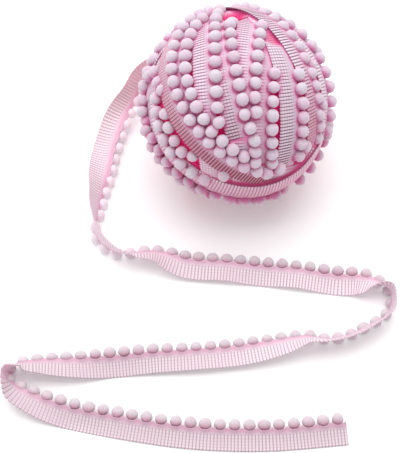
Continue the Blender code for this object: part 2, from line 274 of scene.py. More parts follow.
class Turn:
    """One turn of the trim round the ball."""

    def __init__(self, row):
        values = dict(zip(TURN_COLUMNS, row))
        looks = dict(zip(LOOK_COLUMNS, TURN_LOOKS.get(values["name"], OTHER_LOOK)))
        self.name = values["name"]
        self.pole = unit_vector(*values["pole"])
        self.offset = math.radians(values["offset"])
        self.radius = values["radius"]
        self.bulge = values["bulge"]
        self.bulge_at = math.radians(values["bulge_at"])
        self.top = (UP - self.pole * self.pole.z).normalized()
        self.side = self.pole.cross(self.top)
        self.half = 0.5 * TAPE_WIDTH / self.radius
        self.width = looks["width"]
        self.rib_shade = looks["rib_shade"]
        self.lower_shade = looks["lower_shade"]
        self.tuck = looks["tuck"]
        start, end = values["arc"]
        self.start = math.radians(start)
        self.end = math.radians(end)
        self.girth = math.radians(end - start) * self.radius * math.cos(self.offset)

    def direction(self, angle, across):
        """The direction at an angle round the turn, across from its middle to its pompoms."""
        latitude = self.offset + across / self.radius
        along = self.top * math.cos(angle) + self.side * math.sin(angle)
        return along * math.cos(latitude) + self.pole * math.sin(latitude)

    def angle_of(self, direction):
        """The angle round the turn at which a direction lies."""
        return math.atan2(direction.dot(self.side), direction.dot(self.top))

    def reach(self, direction):
        """How far from the ball's centre the turn's outer face lies in a direction."""
        swing = math.cos(self.angle_of(direction) - self.bulge_at)
        return self.radius + self.bulge * max(0.0, swing) ** BULGE_POWER

    def angles(self, spacing):
        """The angles of evenly spaced places along the turn."""
        count = round(self.girth / spacing)
        return [self.start + (self.end - self.start) * (index + 0.5) / count
                for index in range(count)]

    def beside(self, direction):
        """How far beside the turn's tape a direction is: below 0 where the tape covers it."""
        latitude = math.asin(max(-1.0, min(1.0, direction.dot(self.pole)))) - self.offset
        sideways = max(latitude - self.half, self.half - self.width / self.radius - latitude)
        lengthways = -math.pi
        if self.end - self.start < math.tau:
            angle = self.angle_of(direction)
            lengthways = max(self.start - angle, angle - self.end)
        return max(sideways, lengthways / END_SHADE) * self.radius

    def lay(self, share, across, above):
        """A point of the tape: a share of its length, across from the header edge, and above."""
        angle = self.start + (self.end - self.start) * share
        direction = self.direction(angle, TAPE_WIDTH / 2 - across)
        radius = self.reach(direction) - CLOTH_THICK - RIB_RISE + above
        place = BALL_CENTRE + direction * radius
        place.z = max(place.z, FLOOR_CLEARANCE)
        return place


class Hollow:
    """A place where one turn spans the others and they sink away beneath it."""

    def __init__(self, row):
        values = dict(zip(HOLLOW_COLUMNS, row))
        self.spanned_by = values["spanned_by"]
        self.reach = values["reach"]
        self.sink = values["sink"]
        self.direction = unit_vector(values["azimuth"], values["elevation"])

    def depth(self, direction):
        """How far a turn sinks: most round the middle, and less and less out to the reach."""
        away = direction.angle(self.direction) * INNER_RADIUS
        return self.sink * closeness(away, self.reach, self.reach * HOLLOW_FLAT)


class Route:
    """The smooth line through the route's rows, measured by its length."""

    def __init__(self, rows):
        points = np.array(rows, dtype=float)
        places = []
        self.knots = []
        for index in range(len(points) - 1):
            around = np.clip(range(index - 1, index + 3), 0, len(points) - 1)
            before, start, end, after = points[around]
            count = max(2, round(np.linalg.norm((end - start)[:3]) / ROUTE_STEP))
            self.knots.append(len(places))
            for part in np.arange(count) / count:
                places.append(self.between(before, start, end, after, part))
        places.append(points[-1])
        self.places = np.array(places)
        steps = np.linalg.norm(np.diff(self.places[:, :3], axis=0), axis=1)
        self.lengths = np.concatenate([[0.0], np.cumsum(steps)])
        self.length = self.lengths[-1]

    @staticmethod
    def between(before, start, end, after, part):
        """A point of the Catmull-Rom curve from start to end, with chord-length knots."""
        pairs = ((before, start), (start, end), (end, after))
        first, middle, last = (max(ROW_GAP, np.linalg.norm((b - a)[:3])) for a, b in pairs)
        leaving = (end - start) / middle
        arriving = leaving
        if first > ROW_GAP:
            leaving = ((start - before) / first * middle + leaving * first) / (first + middle)
        if last > ROW_GAP:
            arriving = ((after - end) / last * middle + arriving * last) / (middle + last)
        square, cube = part ** 2, part ** 3
        return (start * (2 * cube - 3 * square + 1)
                + leaving * middle * (cube - 2 * square + part)
                + end * (3 * square - 2 * cube)
                + arriving * middle * (cube - square))

    def values(self, length):
        """The route's columns by name at a length along it."""
        return {name: np.interp(length, self.lengths, column)
                for name, column in zip(ROUTE_COLUMNS, self.places.T)}

    def point(self, length):
        """The place at a length along the route."""
        values = self.values(length)
        return Vector((values["x"], values["y"], values["z"]))


class Section:
    """The loose end's cross-section at a length along the route."""

    def __init__(self, route, length, puff=0.0):
        lean = math.radians(route.values(length)["lean"])
        ahead = route.point(length + SECTION_STEP)
        behind = route.point(length - SECTION_STEP)
        travel = (ahead - behind).normalized()
        right = travel.cross(UP).normalized()
        over = right.cross(travel)
        lap = closeness(length, *LAP_LENGTHS)
        self.middle = route.point(length)
        self.width = right * math.cos(lean) + over * math.sin(lean)
        self.face = travel.cross(self.width)
        self.edge = self.middle + self.width * POMPOM_REACH
        # -1 where the tape's face looks down, 1 where it looks up
        self.shown_side = -math.cos(lean) ** SHOWN_POWER
        self.roll = HEADER_ROLL + LAP_ROLL * lap - PUFF * puff * (1 - LAP_FLATNESS * lap)
        self.lift = HEADER_LIFT + LAP_LIFT * lap

    def at(self, across, above):
        """A point of the section: across from the header edge, and above the cloth's middle."""
        fall = max(0.0, 1 - across / (TAPE_WIDTH * LIFT_SHARE))
        lift = self.lift * fall ** LIFT_POWER * self.shown_side
        across += self.roll * max(0.0, 1 - across / HEADER_WIDTH)
        place = self.edge + self.width * across + self.face * (above + lift)
        place.z = max(place.z, CLOTH_THICK * 0.5 + SURFACE_GAP)
        return place


class Pompom:
    """Where a pompom is, in millimetres, which way its root lies, and how much painted light it
    carries.
    """

    def __init__(self, place, root, size, painted_lightness=0.0):
        self.place = place
        self.root = root
        self.size = size
        self.painted_lightness = painted_lightness


# ---------------------------------------------------------------- making pieces
def new_piece(name, mesh, material):
    """A finished object of a mesh, riding with the part."""
    data = bpy.data.meshes.new(name)
    mesh.to_mesh(data)
    mesh.free()
    data.shade_smooth()
    data.materials.append(material)
    piece = bpy.data.objects.new(name, data)
    bpy.context.scene.collection.objects.link(piece)
    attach(piece, "root")
    return piece


def thicken(piece, side):
    """Gives the cloth its thickness: on the side away from its face, -1, or on both, 0."""
    cloth = piece.modifiers.new("cloth", "SOLIDIFY")
    cloth.thickness = CLOTH_THICK * MM
    cloth.offset = side


def flat_tape(length, width, steps):
    """The trim's tape laid flat, with its ribs in steps: x along, y across, z above."""
    ribs = round(length / RIB_PITCH)
    last = len(LINES_ACROSS) - 1
    mesh = bmesh.new()
    bmesh.ops.create_grid(mesh, x_segments=ribs * steps, y_segments=last, size=0.5)
    for vert in mesh.verts:
        line = round((vert.co.y + 0.5) * last)
        step = round((vert.co.x + 0.5) * ribs * steps)
        rib = math.cos(math.tau * step / steps)
        across = LINES_ACROSS[line] * width / TAPE_WIDTH
        above = RIB_RISE * rib if across > HEADER_WIDTH else 0.0
        if line == last:
            across += SCALLOP * rib
            above -= SELVEDGE_DROP
        if line == 0:
            above -= HEADER_DROP
        vert.co = (step / (ribs * steps) * length, across, above)
    weave = mesh.loops.layers.uv.new("weave")
    for face in mesh.faces:
        for loop in face.loops:
            along, across, _ = loop.vert.co
            loop[weave].uv = (along * WEAVE_SCALE, min(across, width) * WEAVE_SCALE)
    return mesh


def tree_of(places):
    """A search tree of points in millimetres."""
    tree = KDTree(len(places))
    for index, place in enumerate(places):
        tree.insert(place, index)
    tree.balance()
    return tree


def mark_near_pompoms(mesh, tree, near_shade):
    """Notes on each point of a tape how close the next pompom is, for the painted shade beside
    it.
    """
    near = mesh.verts.layers.float.new("near")
    for vert in mesh.verts:
        distance = tree.find(vert.co / MM)[2]
        vert[near] = closeness(distance, *near_shade)


def mark_turn(mesh, turn, others):
    """Notes on a turn's points its groove darkness and its masks of painted shade, in crevices,
    in hollows and on its lower front, and sinks them where another turn spans a hollow.
    """
    crevice = mesh.verts.layers.float.new("crevice")
    ribbing = mesh.verts.layers.float.new("ribbing")
    hollow = mesh.verts.layers.float.new("hollow")
    lower_shade = mesh.verts.layers.float.new("lower_shade")
    sinks = [place for place in hollows if place.spanned_by != turn.name]
    over = [other for other in others
            if other is not turn and other.radius + other.bulge > turn.radius]
    for vert in mesh.verts:
        vert[ribbing] = turn.rib_shade
        vert[lower_shade] = turn.lower_shade * closeness(vert.co.z / MM, *LOWER_SHADE_HEIGHTS)
        direction = (vert.co / MM - BALL_CENTRE).normalized()
        reach = turn.reach(direction) + OVER_MARGIN
        for other in over:
            beside = other.beside(direction)
            if beside < CREVICE[0] and other.reach(direction) > reach:
                vert[crevice] = max(vert[crevice], closeness(beside, *CREVICE))
        sunk = max((place.depth(direction) for place in sinks), default=0.0)
        vert[hollow] = min(1.0, sunk / FULL_SINK)
        vert.co -= direction * sunk * MM


def turn_of_tape(turn, material, tree, others, steps):
    """The piece of one turn, its two ends merged where it goes all the way round."""
    mesh = flat_tape(turn.girth, turn.width, steps)
    for vert in mesh.verts:
        along, across, above = vert.co
        vert.co = turn.lay(along / turn.girth, across, above + CLOTH_THICK + RIB_RISE) * MM
    bmesh.ops.remove_doubles(mesh, verts=mesh.verts, dist=SEAM * MM)
    bmesh.ops.recalc_face_normals(mesh, faces=mesh.faces)
    outward = sum(1 if face.normal.dot(face.calc_center_median() - BALL_CENTRE * MM) > 0 else -1
                  for face in mesh.faces)
    if outward < 0:
        bmesh.ops.reverse_faces(mesh, faces=mesh.faces)
    mark_near_pompoms(mesh, tree, TAPE_SHADE_REACH)
    mark_turn(mesh, turn, others)
    piece = new_piece("turn_" + turn.name, mesh, material)
    thicken(piece, -1)
    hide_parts("wound_ball")
    return piece


def pressed_away(turn, direction, reach):
    """Whether the turn at the foot, or a turn that spans a hollow, hides a turn's pompom."""
    if turn.name != FOOT_TURN and any(
            direction.angle(spot) * reach < around for spot, around in BARE_SPOTS):
        return True
    return any(hollow.depth(direction) > HIDING_SINK and hollow.spanned_by != turn.name
               for hollow in hollows)


def pompoms_of(turns, covering, margin):
    """The pompoms of some turns, apart from those that another turn lies over."""
    found = []
    for turn in turns:
        for angle in turn.angles(POMPOM_PITCH):
            direction = turn.direction(angle, TAPE_WIDTH / 2 + POMPOM_REACH - turn.tuck)
            reach = turn.reach(direction)
            if any(other.reach(direction) > reach + HIDING_RISE
                   and other.beside(direction) <= margin for other in covering):
                continue
            if pressed_away(turn, direction, reach):
                continue
            place = BALL_CENTRE + direction * (reach + POMPOM_RISE - turn.tuck)
            place.z = max(place.z, BALL_POMPOM_RADIUS + BALL_POMPOM_GAP)
            # the root is turned down and away from the light as well, so its pink is partly
            # painted shade on the lower side
            away = direction * ROOT_INWARD + turn.pole * ROOT_SIDEWAYS + SHADE_AWAY
            found.append(Pompom(place, -away.normalized(), BALL_POMPOM_RADIUS))
    return found


def push_apart(pompoms):
    """Moves pompoms that press into each other apart, round the ball."""
    for _ in range(PRESSES):
        tree = tree_of([pompom.place for pompom in pompoms])
        for pompom in pompoms:
            for place, _, distance in tree.find_n(pompom.place, PRESSING_POMPOMS + 1):
                if SAME_PLACE < distance < PRESSED_GAP:
                    outward = (pompom.place - BALL_CENTRE).normalized()
                    away = pompom.place - place
                    away -= outward * away.dot(outward)
                    pompom.place += away.normalized() * (PRESSED_GAP - distance) * PRESS_SHARE
                    pompom.place.z = max(pompom.place.z, BALL_POMPOM_RADIUS + BALL_POMPOM_GAP)


def thin_out(pompoms):
    """Leaves out each pompom that would lie inside one nearer the top of the list."""
    kept = []
    for pompom in pompoms:
        if all((pompom.place - other.place).length > CROWDED_GAP for other in kept):
            kept.append(pompom)
    return kept


def tufts(pompoms, tree, near_shade, name, material):
    """One piece of round tufts of cut pile."""
    mesh = bmesh.new()
    at_root = mesh.verts.layers.float.new("root")
    near = mesh.verts.layers.float.new("near")
    tone = mesh.verts.layers.float.new("tone")
    # the painted light that each pompom carries
    pale = mesh.verts.layers.float.new("pale")
    for pompom in pompoms:
        stretch = [RANDOM.uniform(*STRETCHES) for _ in range(3)]
        turned = Euler([RANDOM.uniform(0, math.tau) for _ in range(3)]).to_matrix().to_4x4()
        shape = turned @ Matrix.Diagonal((*stretch, 1.0))
        made = bmesh.ops.create_icosphere(
            mesh, subdivisions=2, radius=pompom.size * MM, matrix=shape)
        shade = RANDOM.uniform(0, 1)
        for vert in made["verts"]:
            vert[at_root] = 0.5 + 0.5 * vert.co.normalized().dot(pompom.root)
            vert[tone] = shade
            vert[pale] = pompom.painted_lightness
            vert.co = vert.co * RANDOM.uniform(*PILE_LENGTHS) + pompom.place * MM
            vert.co.z = max(vert.co.z, SURFACE_GAP * MM)
            # how close the next pompom is, for the painted shade where two touch
            _, (_, _, distance) = tree.find_n(vert.co / MM, 2)
            vert[near] = closeness(distance, *near_shade)
    return new_piece(name, mesh, material)


# ---------------------------------------------------------------- making materials
def feed(tree, socket, value):
    """Gives a socket its value, or links another socket to it."""
    if isinstance(value, bpy.types.NodeSocket):
        tree.links.new(value, socket)
    else:
        socket.default_value = value


def set_inputs(node, values):
    """Gives a node's inputs their values by name."""
    for name, value in values.items():
        node.inputs[name].default_value = value


def math_node(tree, operation, *values):
    """A sum on numbers and sockets."""
    node = tree.nodes.new("ShaderNodeMath")
    node.operation = operation
    for socket, value in zip(node.inputs, values):
        feed(tree, socket, value)
    return node.outputs[0]


def times(tree, mask, share):
    """A value or a mask multiplied by a number or by another mask."""
    return math_node(tree, "MULTIPLY", mask, share)


def vector_node(tree, operation, first, second):
    """The outputs of a sum on two vectors."""
    node = tree.nodes.new("ShaderNodeVectorMath")
    node.operation = operation
    feed(tree, node.inputs[0], first)
    feed(tree, node.inputs[1], second)
    return node.outputs


def parts_of(tree, vector):
    """The three parts of a vector by name."""
    node = tree.nodes.new("ShaderNodeSeparateXYZ")
    tree.links.new(vector, node.inputs[0])
    return node.outputs


def range_node(tree, value, low, high, start=0.0, end=1.0):
    """A smooth change from start to end, as a value goes from low to high."""
    node = tree.nodes.new("ShaderNodeMapRange")
    node.interpolation_type = "SMOOTHSTEP"
    settings = {"Value": value, "From Min": low, "From Max": high, "To Min": start, "To Max": end}
    for name, setting in settings.items():
        feed(tree, node.inputs[name], setting)
    return node.outputs["Result"]


def mix_colour(tree, factor, first, second, blend="MIX"):
    """The first colour where a mask is 0, and the second blended in where it is 1."""
    node = tree.nodes.new("ShaderNodeMix")
    node.data_type = "RGBA"
    node.blend_type = blend
    # a mix node has its sockets for numbers and vectors first, and those for colours after
    for socket, value in zip((node.inputs[0], node.inputs[6], node.inputs[7]),
                             (factor, first, second)):
        feed(tree, socket, (*value, 1.0) if isinstance(value, tuple) else value)
    return node.outputs[2]


def noise_node(tree, vector, scale, detail=2.0):
    """Soft noise over a vector."""
    node = tree.nodes.new("ShaderNodeTexNoise")
    tree.links.new(vector, node.inputs["Vector"])
    set_inputs(node, {"Scale": scale, "Detail": detail})
    return node.outputs["Fac"]


def named_mask(tree, name):
    """A mask that the mesh carries at its points."""
    node = tree.nodes.new("ShaderNodeAttribute")
    node.attribute_name = name
    return node.outputs["Fac"]


def raise_grain(tree, shader, height, strength, distance):
    """Bumps a surface by a height of 0 to 1, over a distance in millimetres."""
    bump = tree.nodes.new("ShaderNodeBump")
    set_inputs(bump, {"Strength": strength, "Distance": distance * MM})
    tree.links.new(height, bump.inputs["Height"])
    tree.links.new(bump.outputs["Normal"], shader.inputs["Normal"])


def new_material(name):
    """A new material, with its nodes and its shader."""
    material = bpy.data.materials.new(name)
    material.use_nodes = True
    tree = material.node_tree
    return material, tree, tree.nodes["Principled BSDF"]


def new_group(name, inputs, outputs):
    """A new node group, and the sockets by which values come in and leave it."""
    group = bpy.data.node_groups.new(name, "ShaderNodeTree")
    for direction, sockets in (("INPUT", inputs), ("OUTPUT", outputs)):
        for socket, kind in sockets.items():
            group.interface.new_socket(socket, in_out=direction, socket_type="NodeSocket" + kind)
    entry = group.nodes.new("NodeGroupInput")
    leave = group.nodes.new("NodeGroupOutput")
    return group, entry.outputs, leave.inputs


def place_group(tree, group, inputs):
    """The outputs of a node group with values or sockets for its inputs."""
    node = tree.nodes.new("ShaderNodeGroup")
    node.node_tree = group
    for name, value in inputs.items():
        feed(tree, node.inputs[name], value)
    return node.outputs


# ---------------------------------------------------------------- the trim's materials
RIB_PINK = (0.82, 0.66, 0.77)
PALE_GAP_PINK = (0.46, 0.25, 0.35)
# the gaps between the ribs: the cloth's own darker thread, taken to near black by painted shade
# in the grooves
GAP_PINK_AND_SHADE = (0.05, 0.005, 0.02)
HEADER_PINK = (0.63, 0.48, 0.59)
# painted shade, with a pink of bounced light, beside each pompom
NEAR_SHADE_PINK = (0.68, 0.16, 0.38)
# painted shade, deepest in the nook beside a pompom
NOOK_SHADE_PINK = (0.42, 0.05, 0.18)
# painted shade and glow under the edge of a turn lying over
CREVICE_SHADE_PINK = (0.68, 0.12, 0.33)
# painted shade and glow deep between the turns and in hollows
RECESS_SHADE_PINK = (0.62, 0.004, 0.14)
LOOSE_RIB_PINK = (0.84, 0.74, 0.78)
LOOSE_GAP_PINK = (0.47, 0.33, 0.39)
LOOSE_HEADER_PINK = (0.74, 0.54, 0.64)
# painted shade beside the loose end's pompoms and in the tucks between them
LOOSE_NEAR_SHADE_PINK = (0.64, 0.27, 0.42)
# painted glow that lightens the loose end's shaded parts
LOOSE_FILL_GLOW_PINK = (0.34, 0.22, 0.27)
# a salmon tint on the drop, and the painted salmon glow there
SALMON = (0.90, 0.50, 0.50)
# painted glow in the fold of the third bend
FOLD_GLOW_PINK = (1.0, 0.40, 0.61)
TUFT_WHITE = (0.66, 0.63, 0.69)
# the pompoms' base colour: partly their own pink and partly painted shade on their lower side
TUFT_PINK = (0.68, 0.18, 0.42)
LOOSE_TUFT_GREY = (0.67, 0.63, 0.66)
# the loose pompoms' base colour: partly their own pink and partly painted shade on the side
# towards the tape
LOOSE_TUFT_PINK = (0.66, 0.32, 0.45)
# painted light: a paler pile, also glowing, where the shade on the loose end's pompoms is lifted
LOOSE_TUFT_LIT_PALE = (0.88, 0.82, 0.86)
# painted shade on the lower front of some turns, darker towards the bottom
LOWER_SHADE_TINT = (0.78, 0.36, 0.45)
# painted shade, darker towards the ball's foot, on the tape and on the pompoms
FOOT_SHADE_TINT = (1.0, 0.46, 0.58)
FOOT_TUFT_SHADE_TINT = (1.0, 0.78, 0.84)
# painted shade on the loose end's far stretch
END_SHADE_TINT = (0.82, 0.80, 0.81)
BLACK = (0.0, 0.0, 0.0)

# from the ball's centre: as far as the painted shade and glow of the recesses are full, and reach
# at all
WOUND_DEPTHS = (41.2, 43.4)
INNER_DEPTHS = (43.0, 46.0)
TUFT_DEPTHS = (40.0, 44.5)
FOOT_HEIGHTS = (18.0, 66.0)  # where the painted shade towards the ball's foot is full, and where it has gone
FOOT_SHADE = 0.85        # how strong it is on the tape
FOOT_TUFT_SHADE = 0.6    # and on the pompoms

# from the header edge, where the ribs' shades begin, and where they are full
WOUND_RIBS = (2.4, 5.8)
LOOSE_RIBS = (2.7, 3.4)
RIB_WAVE = (-0.9, -0.15)  # of the ribs' cosine, from a gap's shade to a crest's
LINE_PITCH = 1.4         # of the fine lines along the tape
LINE_WAVE = (-1.0, -0.6)  # of those lines' cosine, from dark to light
LINE_SHADE = 0.5         # how dark they are
THREADS = (900.0, 160.0, 1.0)  # how fine the threads' noise is: along, across
THREAD_SHARE = 0.4       # of the threads in the cloth's bump
CLOTH_GRAIN = (0.5, 0.2)  # strength and height in millimetres of that bump
PATCH_SCALE = 45.0       # of the patches in which the ribs look flatter
PATCH_RANGE = (0.35, 0.7)
PATCH_SHADE = 0.22
TAUT_SHADE = 0.6         # how much flatter they look where the tape is taut
NEAR_SHADE = 0.72         # how strong the painted shade beside a pompom is on the tape
# the same painted shade along the loose end
LOOSE_NEAR_SHADE = 0.35
NOOK_START = 0.6         # of that painted shade, from which the nook beside the pompom is shaded deeper
# how strong the painted glow of crevices and recesses is
CREVICE_EMISSION = 0.25
SALMON_SHADE = 0.15
# how strong the painted glow of the loose tape is
LOOSE_EMISSION = 0.15
CLOTH_FINISH = {"Roughness": 0.6, "Sheen Weight": 0.2, "Sheen Roughness": 0.4}

# how far the pile faces the root, where its base colour begins, and where it is full: partly the
# pile's own pink and partly painted shade on its lower side
WOUND_ROOTS = (0.34, 0.82)
LOOSE_ROOTS = (0.5, 1.0)
ROOT_SHADE = 0.9
TONE_SHADE = 0.15        # how much of the base colour the pinkest pompoms have all over
TUFT_NEAR_SHADE = 0.8     # how strong the painted shade is where two pompoms touch
FUZZ_SCALE = 2600.0
FUZZ_DETAIL = 3.0
FUZZ_RANGE = (0.3, 0.6)
FUZZ_SHADE = 0.25        # how deep the gaps in the fuzz look
FUZZ_GRAIN = (0.8, 0.4)  # strength and height in millimetres of the fuzz's bump
# how strong the painted glow of the pompoms that carry painted light is
PALE_EMISSION = 0.15
PILE_FINISH = {
    "Roughness": 0.95,
    "Specular IOR Level": 0.1,
    "Sheen Weight": 0.45,
    "Sheen Roughness": 0.5,
    "Subsurface Weight": 0.5,
    "Subsurface Radius": (1.0, 0.35, 0.55),
    "Subsurface Scale": 1.5 * MM,
}


def depth_group():
    """How deep between the turns a point of the ball lies, and how near its foot: 0 to 1, as
    masks for painted shade.
    """
    group, entry, leave = new_group(
        "depth in the ball", {"Place": "Vector", "Deep": "Float", "Shallow": "Float"},
        {"Depth": "Float", "Foot": "Float"})
    distance = vector_node(group, "DISTANCE", entry["Place"], BALL_CENTRE * MM)["Value"]
    height = parts_of(group, entry["Place"])["Z"]
    full, gone = FOOT_HEIGHTS
    depth = range_node(group, distance, entry["Deep"], entry["Shallow"], 1.0, 0.0)
    foot = range_node(group, height, full * MM, gone * MM, 1.0, 0.0)
    group.links.new(depth, leave["Depth"])
    group.links.new(foot, leave["Foot"])
    return group


def weave_group():
    """The tape's ribs, its header band and the cloth's grain from its weave coordinates."""
    group, entry, leave = new_group(
        "ribbed weave", {"Weave": "Vector", "Rib Start": "Float", "Rib Full": "Float"},
        {"Rib": "Float", "Ribbed": "Float", "Height": "Float"})
    place = parts_of(group, entry["Weave"])
    ribs = times(group, place["X"], math.tau / (RIB_PITCH * WEAVE_SCALE))
    rib = range_node(group, math_node(group, "COSINE", ribs), *RIB_WAVE)
    lines = times(group, place["Y"], math.tau / (LINE_PITCH * WEAVE_SCALE))
    line = range_node(group, math_node(group, "COSINE", lines), *LINE_WAVE)
    crossed = math_node(group, "ADD", times(group, line, LINE_SHADE), 1.0 - LINE_SHADE)
    shade = times(group, rib, crossed)
    stretched = vector_node(group, "MULTIPLY", entry["Weave"], THREADS)["Vector"]
    threads = noise_node(group, stretched, 1.0)
    height = math_node(group, "ADD", times(group, shade, 1.0 - THREAD_SHARE),
                       times(group, threads, THREAD_SHARE))
    ribbed = range_node(group, place["Y"], entry["Rib Start"], entry["Rib Full"])
    group.links.new(shade, leave["Rib"])
    group.links.new(ribbed, leave["Ribbed"])
    group.links.new(height, leave["Height"])
    return group


depths = depth_group()
weave = weave_group()


def depth_masks(tree, place, between):
    """How deep a place lies in the ball and how near its foot, for depths in millimetres."""
    deep, shallow = between
    return place_group(tree, depths, {"Place": place, "Deep": deep * MM, "Shallow": shallow * MM})


def wound_shades(tree, shader, colour, place, ribbed, between):
    """Paints shade into a wound tape's colour towards its foot, on its lower front, in crevices
    and in hollows, and paints a glow into its crevices, recesses and hollows.
    """
    sunk = depth_masks(tree, place, between)
    crevice = named_mask(tree, "crevice")
    deep = math_node(tree, "MAXIMUM", sunk["Depth"], named_mask(tree, "hollow"))
    colour = mix_colour(tree, crevice, colour, CREVICE_SHADE_PINK)
    colour = mix_colour(tree, deep, colour, RECESS_SHADE_PINK)
    foot = times(tree, sunk["Foot"], FOOT_SHADE)
    colour = mix_colour(tree, foot, colour, FOOT_SHADE_TINT, "MULTIPLY")
    # painted shade on the lower front, within the ribbed part
    lower_shade = times(tree, named_mask(tree, "lower_shade"), ribbed)
    # painted glow in crevices, recesses and hollows, as if from light bounced off the pink cloth
    lit = mix_colour(tree, crevice, BLACK, CREVICE_SHADE_PINK)
    tree.links.new(mix_colour(tree, deep, lit, RECESS_SHADE_PINK), shader.inputs["Emission Color"])
    shader.inputs["Emission Strength"].default_value = CREVICE_EMISSION
    return mix_colour(tree, lower_shade, colour, LOWER_SHADE_TINT, "MULTIPLY")


def loose_shades(tree, shader, colour, weave_place):
    """Tints the loose tape's drop salmon, paints shade on its far stretch and in its tucks, and
    paints a glow over it, salmon on the drop and pink in its fold.
    """
    along = parts_of(tree, weave_place)["X"]
    full, gone = (length * WEAVE_SCALE for length in DROP_TONE)
    dropping = range_node(tree, along, full, gone, 1.0, 0.0)
    colour = mix_colour(tree, times(tree, dropping, SALMON_SHADE), colour, SALMON, "MULTIPLY")
    ending = range_node(tree, along, *(length * WEAVE_SCALE for length in END_SHADE_LENGTHS))
    colour = mix_colour(tree, ending, colour, END_SHADE_TINT, "MULTIPLY")
    lit = mix_colour(tree, dropping, LOOSE_FILL_GLOW_PINK, SALMON)
    lit = mix_colour(tree, named_mask(tree, "fold"), lit, FOLD_GLOW_PINK)
    tree.links.new(lit, shader.inputs["Emission Color"])
    shader.inputs["Emission Strength"].default_value = LOOSE_EMISSION
    return mix_colour(tree, named_mask(tree, "tuck"), colour, LOOSE_NEAR_SHADE_PINK)


def tape_material(name, header, crest, gap, ribs, near_shade, nook, strength, between=None):
    """Cloth of a header colour and of ribs, with painted shade beside the pompoms.

    A wound tape has painted shade and glow between two depths in the ball. Without them it is
    loose.
    """
    material, tree, shader = new_material(name)
    place = tree.nodes.new("ShaderNodeTexCoord").outputs["Object"]
    uv = tree.nodes.new("ShaderNodeUVMap")
    uv.uv_map = "weave"
    weave_place = uv.outputs["UV"]
    start, full = (distance * WEAVE_SCALE for distance in ribs)
    woven = place_group(tree, weave, {"Weave": weave_place, "Rib Start": start, "Rib Full": full})
    if between:
        # how far the gaps go from their own pale colour to near-black painted shade, turn by turn
        gap = mix_colour(tree, named_mask(tree, "ribbing"), PALE_GAP_PINK, gap)
    ribbing = mix_colour(tree, woven["Rib"], gap, crest)
    colour = mix_colour(tree, woven["Ribbed"], header, ribbing)
    patches = noise_node(tree, place, PATCH_SCALE)
    worn = range_node(tree, patches, *PATCH_RANGE, 0.0, PATCH_SHADE)
    colour = mix_colour(tree, worn, colour, header)
    taut = times(tree, named_mask(tree, "taut"), TAUT_SHADE)
    colour = mix_colour(tree, taut, colour, header)
    near = named_mask(tree, "near")
    colour = mix_colour(tree, times(tree, near, strength), colour, near_shade)
    nearest = range_node(tree, near, NOOK_START, 1.0, 0.0, strength)
    colour = mix_colour(tree, nearest, colour, nook)
    if between:
        colour = wound_shades(tree, shader, colour, place, woven["Ribbed"], between)
    else:
        colour = loose_shades(tree, shader, colour, weave_place)
    tree.links.new(colour, shader.inputs["Base Color"])
    set_inputs(shader, CLOTH_FINISH)
    raise_grain(tree, shader, woven["Height"], *CLOTH_GRAIN)
    return material


def pompom_material(name, tip, base, pale, roots, between=None):
    """Cut pile of a tip colour, or of a pale one with painted light and glow, and of a base
    colour at root, partly its own, and in painted shade.
    """
    material, tree, shader = new_material(name)
    place = tree.nodes.new("ShaderNodeTexCoord").outputs["Object"]
    fuzz = noise_node(tree, place, FUZZ_SCALE, FUZZ_DETAIL)
    painted_lightness = named_mask(tree, "pale")
    tone = times(tree, named_mask(tree, "tone"), TONE_SHADE)
    colour = mix_colour(tree, tone, mix_colour(tree, painted_lightness, tip, pale), base)
    at_root = range_node(tree, named_mask(tree, "root"), *roots, 0.0, ROOT_SHADE)
    colour = mix_colour(tree, at_root, colour, base)
    # painted shade where two pompoms touch
    near = times(tree, named_mask(tree, "near"), TUFT_NEAR_SHADE)
    colour = mix_colour(tree, near, colour, NEAR_SHADE_PINK)
    gaps = range_node(tree, fuzz, *FUZZ_RANGE, FUZZ_SHADE, 0.0)
    colour = mix_colour(tree, gaps, colour, base)
    if between:
        # painted shade on the pompoms: deep between the turns, and darker towards the ball's foot
        sunk = depth_masks(tree, place, between)
        foot = times(tree, sunk["Foot"], FOOT_TUFT_SHADE)
        colour = mix_colour(tree, sunk["Depth"], colour, RECESS_SHADE_PINK)
        colour = mix_colour(tree, foot, colour, FOOT_TUFT_SHADE_TINT, "MULTIPLY")
    tree.links.new(colour, shader.inputs["Base Color"])
    # painted glow on the pompoms that carry painted light
    lit = mix_colour(tree, painted_lightness, BLACK, colour)
    tree.links.new(lit, shader.inputs["Emission Color"])
    shader.inputs["Emission Strength"].default_value = PALE_EMISSION
    set_inputs(shader, PILE_FINISH)
    raise_grain(tree, shader, fuzz, *FUZZ_GRAIN)
    return material


wound_cloth = dict(header=HEADER_PINK, crest=RIB_PINK, gap=GAP_PINK_AND_SHADE, ribs=WOUND_RIBS,
                   near_shade=NEAR_SHADE_PINK, nook=NOOK_SHADE_PINK, strength=NEAR_SHADE)
wound_tape = tape_material("wound tape", **wound_cloth, between=WOUND_DEPTHS)
inner_tape = tape_material("inner tape", **wound_cloth, between=INNER_DEPTHS)
loose_tape = tape_material(
    "loose tape", LOOSE_HEADER_PINK, LOOSE_RIB_PINK, LOOSE_GAP_PINK, LOOSE_RIBS,
    near_shade=LOOSE_NEAR_SHADE_PINK, nook=LOOSE_NEAR_SHADE_PINK, strength=LOOSE_NEAR_SHADE)
wound_tufts = pompom_material(
    "wound pompoms", TUFT_WHITE, TUFT_PINK, TUFT_WHITE, WOUND_ROOTS, between=TUFT_DEPTHS)
loose_tufts = pompom_material(
    "loose pompoms", LOOSE_TUFT_GREY, LOOSE_TUFT_PINK, LOOSE_TUFT_LIT_PALE, LOOSE_ROOTS)

